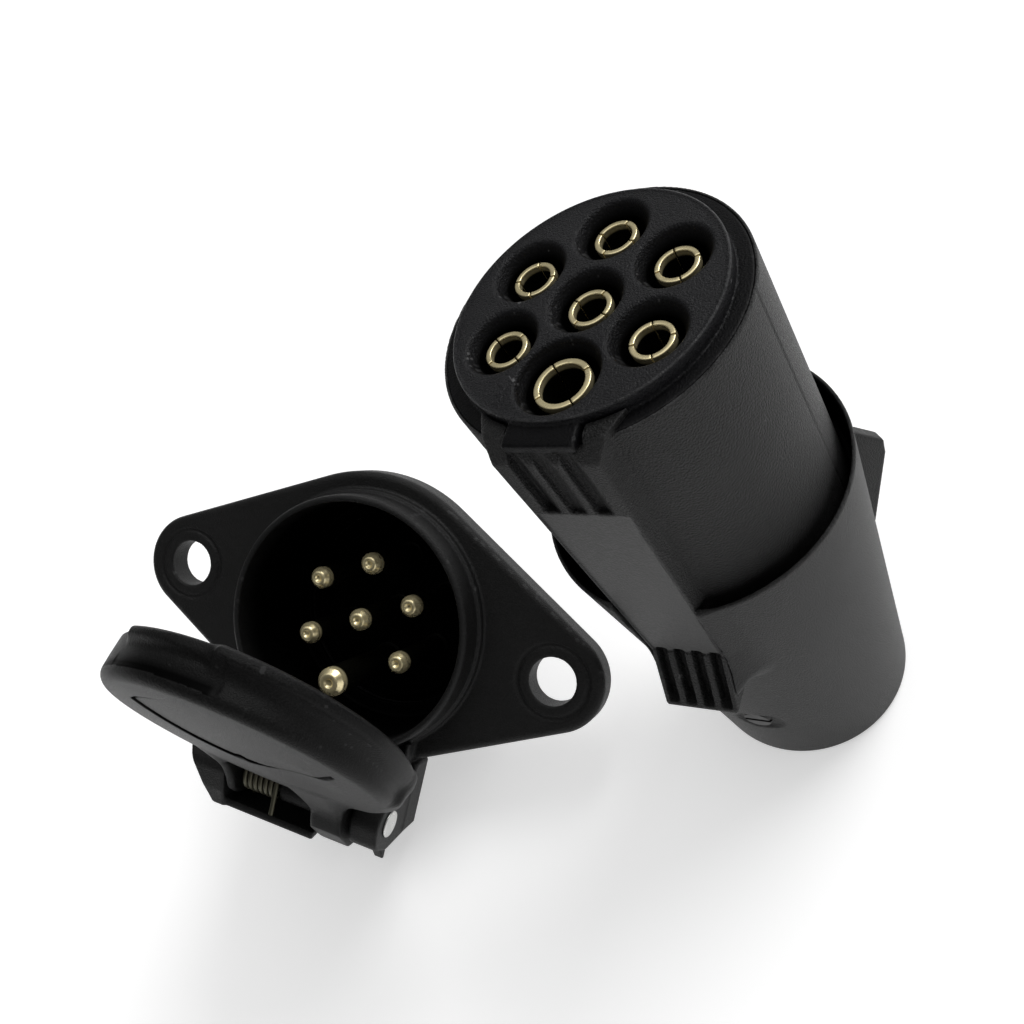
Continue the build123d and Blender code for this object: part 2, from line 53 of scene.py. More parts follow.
# ------------------------------------------------------------------ frames
class Place:
    """A piece's own millimetre frame inside the row frame."""

    def __init__(self, origin_mm, axes):
        self.o = np.array(origin_mm, float)
        self.m = np.array(axes, float)

    def world(self, pts):
        return (np.asarray(pts, float) @ self.m.T + self.o) * MM

    def shifted(self, x, y, z):
        return Place(self.o + self.m @ np.array([x, y, z], float), self.m)

    def turned(self, axis, deg):
        rot = np.array(Matrix.Rotation(math.radians(deg), 3, axis))
        return Place(self.o, self.m @ rot)


bore = mounts["contact_centre_bore"]["pos_m"]
PLUG = Place([bore[0] * 1000, bore[1] * 1000, 0.0], np.eye(3))

FLANGE_T = 6.2
sock_n = np.array(mounts["panel_bolts"]["axis"])
sock_x = np.array(lid_joint["axis"])
sock_y = np.cross(sock_n, sock_x)
sock_m = np.stack([sock_x, sock_y, sock_n], axis=1)
flange_mid = np.array(mounts["panel_bolts"]["pos_m"]) * 1000
SOCK = Place(flange_mid - sock_n * FLANGE_T / 2, sock_m)

HINGE_Y, HINGE_Z, LID_OPEN = -37.5, 14.8, 54.0
open_m = np.array(Matrix.Rotation(math.radians(LID_OPEN), 3, "X"))
hinge = np.array([0, HINGE_Y, HINGE_Z])
LID = Place(SOCK.o + SOCK.m @ (hinge - open_m @ hinge), SOCK.m @ open_m)

PCD = 25.4
POLES = [
    ("ground", 270), ("1", 210), ("2", 150), ("3", 90), ("4", 30), ("5", 330), ("centre", None),
]
POLE_XY = {}
for pole, angle in POLES:
    r = 0.0 if angle is None else PCD / 2
    a = math.radians(angle or 0)
    POLE_XY[pole] = (r * math.cos(a), r * math.sin(a))


# ------------------------------------------------- distance-field modelling
class Grid:
    """Sample points over a box, in millimetres, as three arrays that broadcast."""

    def __init__(self, lo, hi, step):
        self.lo = np.array(lo, float)
        self.step = step
        axes = []
        for a, b in zip(lo, hi):
            axes.append((a + step * np.arange(int(math.ceil((b - a) / step)) + 1)).astype(F))
        self.x = axes[0][:, None, None]
        self.y = axes[1][None, :, None]
        self.z = axes[2][None, None, :]


def hyp(a, b):
    return np.sqrt(a * a + b * b)


def inter(a, b, r=0.0):
    """Intersection of two solids, its new edge rounded to radius r."""
    if r <= 0:
        return np.maximum(a, b)
    a, b = a + r, b + r
    return np.minimum(np.maximum(a, b), 0) + hyp(np.maximum(a, 0), np.maximum(b, 0)) - r


def join(a, b, r=0.0):
    """Union of two solids with a fillet of radius r."""
    return -inter(-a, -b, r)


def cut(a, b, r=0.0):
    """a without b, the new edge rounded to radius r."""
    return inter(a, -b, r)


def slab(v, lo, hi):
    return np.abs(v - (lo + hi) / 2) - (hi - lo) / 2


def box(g, x, y, z, r=0.3):
    return inter(inter(slab(g.x, *x), slab(g.y, *y), r), slab(g.z, *z), r)


def soften(points, steps=6):
    """A closed outline whose points may carry a corner radius as a third value."""
    out = []
    for i, p in enumerate(points):
        if len(p) < 3:
            out.append(p)
            continue
        b = np.array(p[:2], float)
        u = np.array(points[i - 1][:2], float) - b
        v = np.array(points[(i + 1) % len(points)][:2], float) - b
        u /= np.linalg.norm(u)
        v /= np.linalg.norm(v)
        half = math.acos(float(np.clip(u @ v, -1, 1))) / 2
        mid = (u + v) / np.linalg.norm(u + v)
        centre = b + mid * p[2] / math.sin(half)
        p0 = b + u * p[2] / math.tan(half) - centre
        p1 = b + v * p[2] / math.tan(half) - centre
        a0 = math.atan2(p0[1], p0[0])
        turn = (math.atan2(p1[1], p1[0]) - a0 + math.pi) % (2 * math.pi) - math.pi
        for k in range(steps + 1):
            a = a0 + turn * k / steps
            out.append((centre[0] + p[2] * math.cos(a), centre[1] + p[2] * math.sin(a)))
    return out


def outline(a, b, points):
    """Signed distance, in a plane, to a closed outline."""
    points = soften(points)
    best, sign = None, 1.0
    for i in range(len(points)):
        ax, ay = points[i]
        bx, by = points[i - 1]
        ex, ey = bx - ax, by - ay
        wx, wy = a - ax, b - ay
        t = np.clip((wx * ex + wy * ey) / (ex * ex + ey * ey), 0, 1)
        d = (wx - ex * t) ** 2 + (wy - ey * t) ** 2
        best = d if best is None else np.minimum(best, d)
        above, below, left = b >= ay, b < by, ex * wy > ey * wx
        flip = (above & below & left) | (~above & ~below & ~left)
        sign = sign * np.where(flip, -1.0, 1.0)
    return (sign * np.sqrt(best)).astype(F)


def lathe(g, points, x0=0.0, y0=0.0):
    """Distance to a solid of revolution about a line parallel to Z."""
    r = hyp(g.x - x0, g.y - y0)[:, :, 0]
    step = 0.1
    rs = np.arange(0, float(r.max()) + 3 * step, step)[:, None]
    table = outline(rs, g.z[0, 0][None, :], points)
    k = r / step
    i = k.astype(int)
    w = (k - i)[:, :, None].astype(F)
    return table[i] * (1 - w) + table[i + 1] * w


def solid(name, field, g, place, painted_light=None):
    """Turns a distance field into a closed mesh in the row frame.

    The painted-light function, where given, is a function of the piece's own x, y and z. Its value at each vertex
    goes into a per-vertex attribute, which the materials read to paint shade, and on the rib's panel a sheen, into
    the colour.
    """
    band = 3 * g.step
    vdb = openvdb.FloatGrid(band)
    vdb.copyFromArray(np.ascontiguousarray(np.clip(field, -band, band), dtype=F))
    vdb.transform = openvdb.createLinearTransform(g.step)
    pts, tris, quads = vdb.convertToPolygons(0.0, 0.0)
    own = pts.astype(float) + g.lo
    pts = place.world(own)
    faces = [np.asarray(f, np.int64) for f in (tris, quads) if len(f)]
    v = pts - pts.mean(0)
    volume = 0.0
    for f in faces:
        for k in range(1, f.shape[1] - 1):
            volume += np.einsum("ij,ij->i", v[f[:, 0]], np.cross(v[f[:, k]], v[f[:, k + 1]])).sum()
    if volume < 0:
        faces = [f[:, ::-1] for f in faces]
    mesh = fill_mesh(name, pts, faces)
    if painted_light is not None:
        values = np.clip(painted_light(own[:, 0], own[:, 1], own[:, 2]), 0, 1).astype(F)
        mesh.attributes.new("painted_light", "FLOAT", "POINT").data.foreach_set("value", values)
    return mesh


def fill_mesh(name, pts, faces):
    mesh = bpy.data.meshes.new(name)
    mesh.vertices.add(len(pts))
    mesh.vertices.foreach_set("co", pts.astype(F).ravel())
    loops = np.concatenate([f.ravel() for f in faces])
    sizes = np.concatenate([np.full(len(f), f.shape[1]) for f in faces])
    mesh.loops.add(len(loops))
    mesh.loops.foreach_set("vertex_index", loops.astype(np.int32))
    mesh.polygons.add(len(sizes))
    starts = np.concatenate([[0], np.cumsum(sizes)[:-1]])
    mesh.polygons.foreach_set("loop_start", starts.astype(np.int32))
    mesh.update(calc_edges=True)
    mesh.validate()
    mesh.shade_smooth()
    return mesh


def piece(name, mesh, material, body, slot, *nodes):
    obj = bpy.data.objects.new(name, mesh)
    bpy.context.scene.collection.objects.link(obj)
    obj.data.materials.append(material)
    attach(obj, body)
    if nodes:
        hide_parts(*nodes)
    return obj


def build(node, shaped, place, material, body, slot, painted_light=None):
    """Meshes a grid and its field as one piece that stands in for a CAD node."""
    g, d = shaped
    name = node + "_v"
    return piece(name, solid(name, d, g, place, painted_light), material, body, slot, node)


# ---------------------------------------------------------------- materials
def node_tree(name):
    mat = bpy.data.materials.new(name)
    mat.use_nodes = True
    tree = mat.node_tree
    bsdf = tree.nodes["Principled BSDF"]
    coord = tree.nodes.new("ShaderNodeTexCoord")
    return mat, tree, bsdf, coord.outputs["Object"]


def noise(tree, coord, scale, detail=2.0, rough=0.5):
    n = tree.nodes.new("ShaderNodeTexNoise")
    n.inputs["Scale"].default_value = scale
    n.inputs["Detail"].default_value = detail
    n.inputs["Roughness"].default_value = rough
    tree.links.new(coord, n.inputs["Vector"])
    return n.outputs["Fac"]


def ramp(tree, fac, lo, hi, out_lo, out_hi):
    n = tree.nodes.new("ShaderNodeMapRange")
    n.inputs["From Min"].default_value = lo
    n.inputs["From Max"].default_value = hi
    n.inputs["To Min"].default_value = out_lo
    n.inputs["To Max"].default_value = out_hi
    tree.links.new(fac, n.inputs["Value"])
    return n.outputs["Result"]


def mix(tree, fac, a, b):
    n = tree.nodes.new("ShaderNodeMix")
    n.data_type = "RGBA"
    for key, value in (("Factor", fac), ("A", a), ("B", b)):
        socket = [s for s in n.inputs if s.name == key and s.enabled][0]
        if isinstance(value, bpy.types.NodeSocket):
            tree.links.new(value, socket)
        elif key == "Factor":
            socket.default_value = value
        else:
            socket.default_value = (*value, 1.0)
    return [s for s in n.outputs if s.enabled][0]


def bump(tree, bsdf, height, strength, distance, previous=None):
    n = tree.nodes.new("ShaderNodeBump")
    if isinstance(strength, bpy.types.NodeSocket):
        tree.links.new(strength, n.inputs["Strength"])
    else:
        n.inputs["Strength"].default_value = strength
    n.inputs["Distance"].default_value = distance
    tree.links.new(height, n.inputs["Height"])
    if previous is not None:
        tree.links.new(previous, n.inputs["Normal"])
    tree.links.new(n.outputs["Normal"], bsdf.inputs["Normal"])
    return n.outputs["Normal"]


def times(tree, a, b):
    n = tree.nodes.new("ShaderNodeMath")
    n.operation = "MULTIPLY"
    tree.links.new(a, n.inputs[0])
    if isinstance(b, float):
        n.inputs[1].default_value = b
    else:
        tree.links.new(b, n.inputs[1])
    return n.outputs[0]


def painted_light_of(tree):
    n = tree.nodes.new("ShaderNodeAttribute")
    n.attribute_name = "painted_light"
    return n.outputs["Fac"]


def moulded(name, dark, light, rough, gloss, grain, edge_wear_and_highlight, specks=0.0, painted_light_target=None):
    """Black moulded plastic: mottled tone, fine grain with painted glints, edges painted paler as rubbed wear and
    as a painted highlight, a few light specks.

    The last argument gives what the painted-light attribute blends towards, painting shade, and on the rib's panel
    a
    sheen: a tone, and a factor on the gloss.
    """
    mat, tree, bsdf, coord = node_tree(name)
    cloud = ramp(tree, noise(tree, coord, 90.0, 3.0), 0.3, 0.7, 0.0, 1.0)
    colour = mix(tree, cloud, dark, light)
    fine = noise(tree, coord, 3400.0, 2.0, 0.6)
    # painted glints: bright points of the fine grain painted into the colour
    painted_glint = ramp(tree, fine, 0.45, 0.72, 0.0, 0.6)
    colour = mix(tree, painted_glint, colour, [c * 3.0 for c in light])
    geo = tree.nodes.new("ShaderNodeNewGeometry")
    # edges painted paler: partly rubbed wear, partly a painted highlight along the edges
    edge = ramp(tree, geo.outputs["Pointiness"], 0.525, 0.60, 0.0, edge_wear_and_highlight)
    rub = ramp(tree, noise(tree, coord, 500.0, 3.0, 0.6), 0.35, 0.65, 0.25, 1.0)
    colour = mix(tree, times(tree, edge, rub), colour, [0.12, 0.12, 0.122])
    cells = tree.nodes.new("ShaderNodeTexVoronoi")
    cells.inputs["Scale"].default_value = 420.0
    tree.links.new(coord, cells.inputs["Vector"])
    dot = ramp(tree, cells.outputs["Distance"], 0.03, 0.08, 1.0, 0.0)
    rare = ramp(tree, noise(tree, coord, 160.0, 1.0), 0.62, 0.68, 0.0, specks)
    colour = mix(tree, times(tree, dot, rare), colour, [0.22, 0.22, 0.22])
    roughness = ramp(tree, fine, 0.3, 0.7, rough - 0.07, rough + 0.09)
    strength = grain
    bsdf.inputs["Specular IOR Level"].default_value = gloss
    # the per-vertex attribute paints shade, and on the rib's panel a sheen, into the colour and gloss
    if painted_light_target is not None:
        tone, gloss_factor = painted_light_target
        painted_light = painted_light_of(tree)
        colour = mix(tree, painted_light, colour, tone)
        strength = ramp(tree, painted_light, 0.0, 1.0, grain, grain * 0.25)
        shine = ramp(tree, painted_light, 0.0, 1.0, gloss, gloss * gloss_factor)
        tree.links.new(shine, bsdf.inputs["Specular IOR Level"])
    tree.links.new(colour, bsdf.inputs["Base Color"])
    tree.links.new(roughness, bsdf.inputs["Roughness"])
    first = bump(tree, bsdf, fine, strength, 0.00045)
    bump(tree, bsdf, noise(tree, coord, 900.0, 2.0), grain * 0.5, 0.00008, first)
    return mat


METAL_GRAIN = 300.0


def metal(name, base, deep, rough):
    """Bare metal, darker in its hollows; the painted-light attribute paints it black and non-metallic as painted
    shade.
    """
    mat, tree, bsdf, coord = node_tree(name)
    tone = ramp(tree, noise(tree, coord, METAL_GRAIN, 4.0), 0.3, 0.7, 0.0, 1.0)
    geo = tree.nodes.new("ShaderNodeNewGeometry")
    hollow_darkening = ramp(tree, geo.outputs["Pointiness"], 0.36, 0.47, 0.8, 0.0)
    colour = mix(tree, tone, base, [c * 0.85 for c in base])
    colour = mix(tree, hollow_darkening, colour, deep)
    # painted shade: where the attribute is set the metal turns black, dull and non-metallic
    painted_light = painted_light_of(tree)
    colour = mix(tree, painted_light, colour, [0.003, 0.003, 0.002])
    tree.links.new(colour, bsdf.inputs["Base Color"])
    tree.links.new(ramp(tree, painted_light, 0.0, 0.8, 0.72, 0.0), bsdf.inputs["Metallic"])
    worn = ramp(tree, tone, 0, 1, rough - 0.06, rough + 0.08)
    tree.links.new(worn, bsdf.inputs["Roughness"])
    tree.links.new(ramp(tree, painted_light, 0.0, 1.0, 0.5, 0.05), bsdf.inputs["Specular IOR Level"])
    bump(tree, bsdf, noise(tree, coord, METAL_GRAIN * 6, 2.0), 0.15, 0.00004)
    return mat


def grey(value):
    return (value, value, value)


# what the painted-light attribute paints: painted shadow in deep places; on the smooth panel a painted sheen that
# makes it paler, with a real higher gloss
SHADOW = (grey(0.001), 0.12)
POLISHED_WITH_PAINTED_SHEEN = (grey(0.026), 1.5)

BODY = moulded(
    "body_plastic", grey(0.006), grey(0.010), 0.44, 0.24,
    grain=1.0, edge_wear_and_highlight=0.8, specks=0.9, painted_light_target=POLISHED_WITH_PAINTED_SHEEN,
)
SHELL = moulded(
    "shell_plastic", grey(0.005), grey(0.009), 0.44, 0.21,
    grain=0.6, edge_wear_and_highlight=0.4, specks=0.4, painted_light_target=SHADOW,
)
FACE = moulded(
    "face_plastic", (0.002, 0.002, 0.003), (0.005, 0.005, 0.006), 0.38, 0.24,
    grain=0.6, edge_wear_and_highlight=0.9, specks=0.7, painted_light_target=SHADOW,
)
SOCKET = moulded(
    "socket_plastic", grey(0.003), grey(0.005), 0.48, 0.25,
    grain=0.5, edge_wear_and_highlight=0.25, specks=0.2, painted_light_target=SHADOW,
)
LIDMAT = moulded(
    "lid_plastic", grey(0.0025), grey(0.005), 0.42, 0.13,
    grain=0.4, edge_wear_and_highlight=0.2, specks=0.2, painted_light_target=SHADOW,
)
# insert at the foot of the pin cavity: its very dark tone is painted shade
INSERT_PAINTED_SHADE = moulded(
    "insert_plastic", grey(0.0012), grey(0.002), 0.6, 0.12,
    grain=0.3, edge_wear_and_highlight=0.05, painted_light_target=SHADOW,
)
RUBBER = moulded("rubber", grey(0.005), grey(0.008), 0.72, 0.3, grain=0.5, edge_wear_and_highlight=0.1)
BRASS = metal("brass", (1.0, 0.87, 0.52), (0.25, 0.17, 0.06), 0.26)
STEEL = metal("steel", (0.74, 0.74, 0.72), (0.30, 0.29, 0.27), 0.30)
BLACKED = metal("blacked_steel", (0.045, 0.045, 0.045), (0.010, 0.010, 0.010), 0.40)
# spring metal: zinc-yellow, its colour darkened as painted shade
ZINC_PAINTED_SHADE = metal("zinc_yellow_painted_shade", (0.085, 0.08, 0.055), (0.04, 0.035, 0.02), 0.38)


# ------------------------------------------------------------------- camera
FOCAL_PX = 1100.0
PICTURE_PX = 1024.0
SENSOR_MM = 36.0
bpy.context.scene.view_settings.view_transform = "Standard"
cam_data = bpy.data.cameras.new("camera")
cam_data.sensor_width = SENSOR_MM
cam_data.lens = FOCAL_PX * SENSOR_MM / PICTURE_PX
cam_data.clip_start = 0.01
cam = bpy.data.objects.new("camera", cam_data)
bpy.context.scene.collection.objects.link(cam)
right = Vector((0.83227, 0.31275, -0.45772))
down = Vector((0.02632, -0.84702, -0.53090))
fwd = Vector((-0.55374, 0.42981, -0.71318))
turn = Matrix((right, -down, -fwd)).transposed()
eye = Vector(PLUG.world([73.422, -89.517, 204.8]))
cam.matrix_world = Matrix.Translation(eye) @ turn.to_4x4()
bpy.context.scene.camera = cam


# -------------------------------------------------------------------- plug
PL = 111.6
NOSE_R = 22.8
RIM_H = 69.3
PANEL = (54.6, PL - 16.0)
FLANK_SLOPE, FLANK_SCALE = 0.42, 0.92
GRIP_TEETH, TOOTH_WIDTH, TOOTH_DEPTH = (-5.6, -1.6, 2.4), 3.0, 2.1
POCKETS = (-4.65, -1.55, 1.55, 4.65)


def rib_top(z):
    """Height of the rib above the plug's axis at z, and half its width there."""
    t = np.clip((PL - 3.4 - z) / 53.6, 0, 1)
    ramp_up = np.maximum(54.6 - z, 0) * (5.2 / 11.0)
    return 23.9 + 0.5 * t + ramp_up, 8.0 - 1.7 * t


def rib_flank(g, top, half, up):
    """Slope of the rib's sides, which spread towards its root."""
    return (np.abs(g.x) - half - FLANK_SLOPE * (top - up)) * FLANK_SCALE


def plug_body():
    g = Grid((-24.5, -31.0, 42.6), (24.5, 24.5, 110.0), 0.25)
    tube = lathe(g, [
        (20.3, 49.5), (NOSE_R, 49.5), (NOSE_R, 109.2, 0.25), (22.4, 109.2), (22.4, 108.6),
        (20.3, 108.6),
    ])
    top, half = rib_top(g.z)
    up = -g.y
    rib = inter(up - top, rib_flank(g, top, half, up), 0.3)
    below = np.abs(g.x) - half - 0.1
    rib = np.maximum(rib, np.where(g.z < RIM_H + 0.1, below, -9.0))
    front = ((g.z - (PL - 2.4)) + (up - 22.2)) / 1.42
    rib = inter(rib, front, 0.3)
    rib = inter(rib, 43.6 - g.z, 0.9)
    rib = np.maximum(np.maximum(rib, 20.3 - hyp(g.x, g.y)), 12.0 - up)
    # saw-tooth grip at the front of the rib: steep on one side, sloping back on the other
    zone = inter(PL - 16.0 - g.z, np.abs(g.x) - half + 0.5)
    for x in GRIP_TEETH:
        depth = TOOTH_DEPTH - np.clip(g.x - x, 0, TOOTH_WIDTH) * (TOOTH_DEPTH / TOOTH_WIDTH)
        tooth = inter(top - depth - up, slab(g.x, x, x + TOOTH_WIDTH))
        rib = cut(rib, inter(tooth, zone), 0.05)
    # panel sunk a little below the grips at either end
    panel = inter(inter(top - 0.3 - up, np.abs(g.x) - half + 0.45), slab(g.z, *PANEL))
    rib = cut(rib, panel, 0.08)
    # finger pockets down the ramp
    for x in POCKETS:
        groove = inter(np.abs(g.x - x) - 0.95, top - up - 2.6, 0.3)
        rib = cut(rib, inter(groove, slab(g.z, 44.7, 55.2), 0.6), 0.15)
    d = join(tube, rib)
    # mould parting line along both sides
    for sign in (-1, 1):
        seam = hyp(g.y - 1.2, g.x - sign * (NOSE_R + 0.10)) - 0.30
        d = cut(d, seam, 0.08)
    # cut-out that takes the snap tab
    d = cut(d, box(g, (-5.8, 5.8), (-23.6, -19.0), (108.9, 113.0), 0.2), 0.15)
    return g, d


def panel_painted_sheen(x, y, z):
    """1 on the smooth panel of the rib, which a painted sheen makes paler, 0 elsewhere."""
    half = 8.0 - 1.7 * (PL - 3.4 - z) / 53.6
    inside = np.minimum(half - 0.4 - np.abs(x), np.minimum(PANEL[1] - z, z - PANEL[0]))
    return np.clip(inside / 0.3, 0, 1) * (y < -22.9)


build("plug_body", plug_body(), PLUG, BODY, "plug", "black_plastic", panel_painted_sheen)


WELL, GROUND_WELL = (4.3, 5.7), (5.2, 6.3)


def plug_insert():
    g = Grid((-22.6, -24.4, 87.0), (22.6, 22.6, 112.4), 0.2)
    d = lathe(g, [
        (0, 88.0), (20.1, 88.0), (20.1, 108.7), (22.3, 108.7),
        (22.3, 109.1), (20.0, 109.2), (20.1, PL, 0.3), (19.75, PL), (19.6, PL - 0.15),
        (0, PL - 0.15),
    ])
    # snap tab with its top sloping outwards
    tab = box(g, (-5.4, 5.4), (-23.2, -18.0), (108.95, 110.7), 0.5)
    tab = inter(tab, g.z - 110.9 - 0.25 * (g.y + 21.5), 0.3)
    d = join(d, tab, 0.3)
    for pole, (x, y) in POLE_XY.items():
        well, mouth = GROUND_WELL if pole == "ground" else WELL
        tool = lathe(g, [
            (0, 99.7), (well, 99.7), (well, PL - 2.2), (well + 0.7, PL - 1.2), (mouth, PL),
            (mouth + 0.6, PL + 3), (0, PL + 3),
        ], x, y)
        d = cut(d, tool, 0.35)
    # a small raised numeral beside one of the contacts
    for cy in (-14.6, -16.1):
        u, v = g.x + 8.2, g.y - cy
        arc = np.maximum(np.abs(hyp(u, v) - 0.75) - 0.17, -u - 0.35)
        d = join(d, inter(arc, slab(g.z, PL - 1.0, PL - 0.04), 0.08), 0.05)
    return g, d


def well_painted_shade(x, y, z):
    """Painted shade: 0 on the flat face, rising to 1 down the wells round the contacts, 0.6 on the ledge round the
    face.
    """
    radius = np.hypot(x, y)
    depth = np.clip((PL - 0.5 - z) / 1.6, 0, 1)
    return np.where(radius < 19.9, depth, 0.6 * (radius > 20.3))


build("plug_insert", plug_insert(), PLUG, FACE, "plug", "insert_plastic", well_painted_shade)

# outer and inner radius of the split sleeves, and the height of their lips
SLEEVE, GROUND_SLEEVE = (3.2, 2.42), (4.15, 3.25)
SLEEVE_TOP = PL - 1.8
SLOT_DEPTH = 9.5


def contact(outer, inner):
    g = Grid((-5, -5, 77.0), (5, 5, 110.4), 0.125)
    top = SLEEVE_TOP
    d = lathe(g, [
        (0, 77.6), (outer, 77.6), (outer, top, 0.15), (inner, top, 0.12), (inner, 89.0),
        (0, 89.0),
    ])
    for across in (g.x, g.y):
        d = cut(d, inter(np.abs(across) - 0.11, top - SLOT_DEPTH - g.z), 0.03)
    d = cut(d, inter(hyp(g.x, g.y) - outer * 0.55, g.z - 84.0))
    return g, d


def bore_painted_shade(inner):
    """Painted shade on the walls of a contact, inside and out, from just below its lip."""

    def painted_light(x, y, z):
        radius = np.hypot(x, y)
        walls = (radius < inner + 0.25) | (radius > inner + 0.6)
        return np.clip((SLEEVE_TOP - 0.3 - z) / 0.8, 0, 1) * walls

    return painted_light


# how far each sleeve's slots are turned, in degrees
SLOT_TURN = {"ground": 38, "1": 52, "2": 5, "3": 70, "4": 24, "5": 15, "centre": 62}
for big, radii in ((False, SLEEVE), (True, GROUND_SLEEVE)):
    shaped, painted_light = contact(*radii), bore_painted_shade(radii[1])
    for pole, (x, y) in POLE_XY.items():
        if (pole == "ground") == big:
            place = PLUG.shifted(x, y, 0).turned("Z", SLOT_TURN[pole])
            build("contact_" + pole, shaped, place, BRASS, "plug", "brass", painted_light)


def sleeve_radius(z):
    """Outer radius of the tapered rear sleeve."""
    return 19.3 + 6.2 * z / RIM_H


SCREW_X, SCREW_Z = 0.6, 19.6
FIN_ANGLES = (45, 135)


def plug_sleeve():
    g = Grid((-31.5, -32.0, -0.5), (31.5, 27.5, 70.0), 0.28)
    d = lathe(g, [
        (12.6, 0), (17.3, 0), (19.35, 0.1, 1.9), (25.5, RIM_H, 0.3), (24.85, RIM_H, 0.25),
        (24.0, 62.0, 0.5), (22.95, 62.0), (22.95, 54.0), (18.0, 43.0), (16.9, 3.0), (12.6, 3.0),
    ])
    radial = hyp(g.x, g.y)
    # each plate makes the two fins on opposite sides
    for deg in FIN_ANGLES:
        c, s = math.cos(math.radians(deg)), math.sin(math.radians(deg))
        along, across = g.x * c + g.y * s, -g.x * s + g.y * c
        plate = outline(along, g.z, [
            (20.4, 58.5), (25.2, 57.4, 0.5), (30.4, 49.6, 0.8), (30.0, 46.5, 0.8),
            (23.6, 30.3, 2.0), (20.4, 26.0),
        ])
        plate = inter(plate, np.abs(across) - 1.45, 0.45)
        plate = np.maximum(plate, sleeve_radius(g.z) - 1.5 - radial)
        d = join(d, plate, 1.0)
    # cheeks that carry the rib's flanks down beside the ramp
    top, half = rib_top(g.z)
    up = -g.y
    cheek = inter(up - top + 0.1, rib_flank(g, top, half, up), 0.3)
    cheek = inter(cheek, 45.0 - g.z, 2.5)
    cheek = inter(cheek, g.z - RIM_H, 0.2)
    cheek = inter(cheek, np.abs(g.x) - 11.0, 2.0)
    cheek = np.maximum(cheek, 15.0 - up)
    cheek = np.maximum(cheek, sleeve_radius(g.z) - 1.9 - radial)
    d = join(d, cheek, 2.6)
    d = cut(d, inter(inter(np.abs(g.x) - half - 0.22, 43.45 - g.z), 12.0 - up), 0.1)
    mouth = lathe(g, [
        (0, 54), (22.95, 54), (22.95, 62.0), (24.0, 62.0, 0.5), (24.85, RIM_H), (24.95, 70.5),
        (0, 70.5),
    ])
    d = cut(d, inter(mouth, 15.0 - up), 0.1)
    # oval recess round the sleeve screw
    y_wall = -sleeve_radius(SCREW_Z)
    xs = np.maximum(np.abs(g.x - SCREW_X) - 1.2, 0)
    oval = hyp(xs, g.z - SCREW_Z) - 2.9
    d = cut(d, inter(oval, g.y - y_wall - 0.7, 0.4), 0.9)
    return g, d


def gap_painted_shade(x, y, z):
    """Painted shade: 1 inside the collar, where the nose leaves a narrow gap."""
    inner = (np.hypot(x, y) < sleeve_radius(z) - 0.35) * (z > 50) * (y > -24.5)
    return np.clip(69.0 - z, 0, 1) * inner


build("plug_rear_sleeve", plug_sleeve(), PLUG, SHELL, "plug", "black_plastic", gap_painted_shade)


# ------------------------------------------------------------------ socket
HOLE_X, HOLE_R, LOBE_R, FLANGE_R = 44.6, 5.1, 11.0, 32.2
BOSS_RING_R, BOSS_R = 27.2, 3.0
EAR_SPREAD, SPREAD_SCALE = 0.58, 0.87
HINGE_PIN_R, LID_EYE_R = 2.2, 2.32
WEB_STARTS, WEB_T = (13.9, 17.4), 1.1


def flange_outline(g):
    """Distance in the flange's plane to three circles joined by their common tangents."""
    ax, ay = np.abs(g.x), np.abs(g.y)
    lean = (FLANGE_R - LOBE_R) / HOLE_X
    c = math.sqrt(1 - lean * lean)
    side = ax * lean + ay * c - FLANGE_R
    along = ax * c - ay * lean
    d = hyp(ax, ay) - FLANGE_R
    d = np.where(along > 0, side, d)
    return np.where(along > HOLE_X * c, hyp(ax - HOLE_X, ay) - LOBE_R, d)


def boss_xy():
    """Centres of the three screw bosses round the socket's rear."""
    angles = [math.radians(a) for a in (4, 124, 244)]
    return [(BOSS_RING_R * math.cos(a), BOSS_RING_R * math.sin(a)) for a in angles]


# the hinge ears and the lid's legs, from side to side along the hinge
EAR_RIGHT, EAR_LEFT = (13.5, 20.0), (-20.5, -17.3)
LEG_RIGHT, LEG_LEFT = (5.5, 13.1), (-16.9, -14.6)


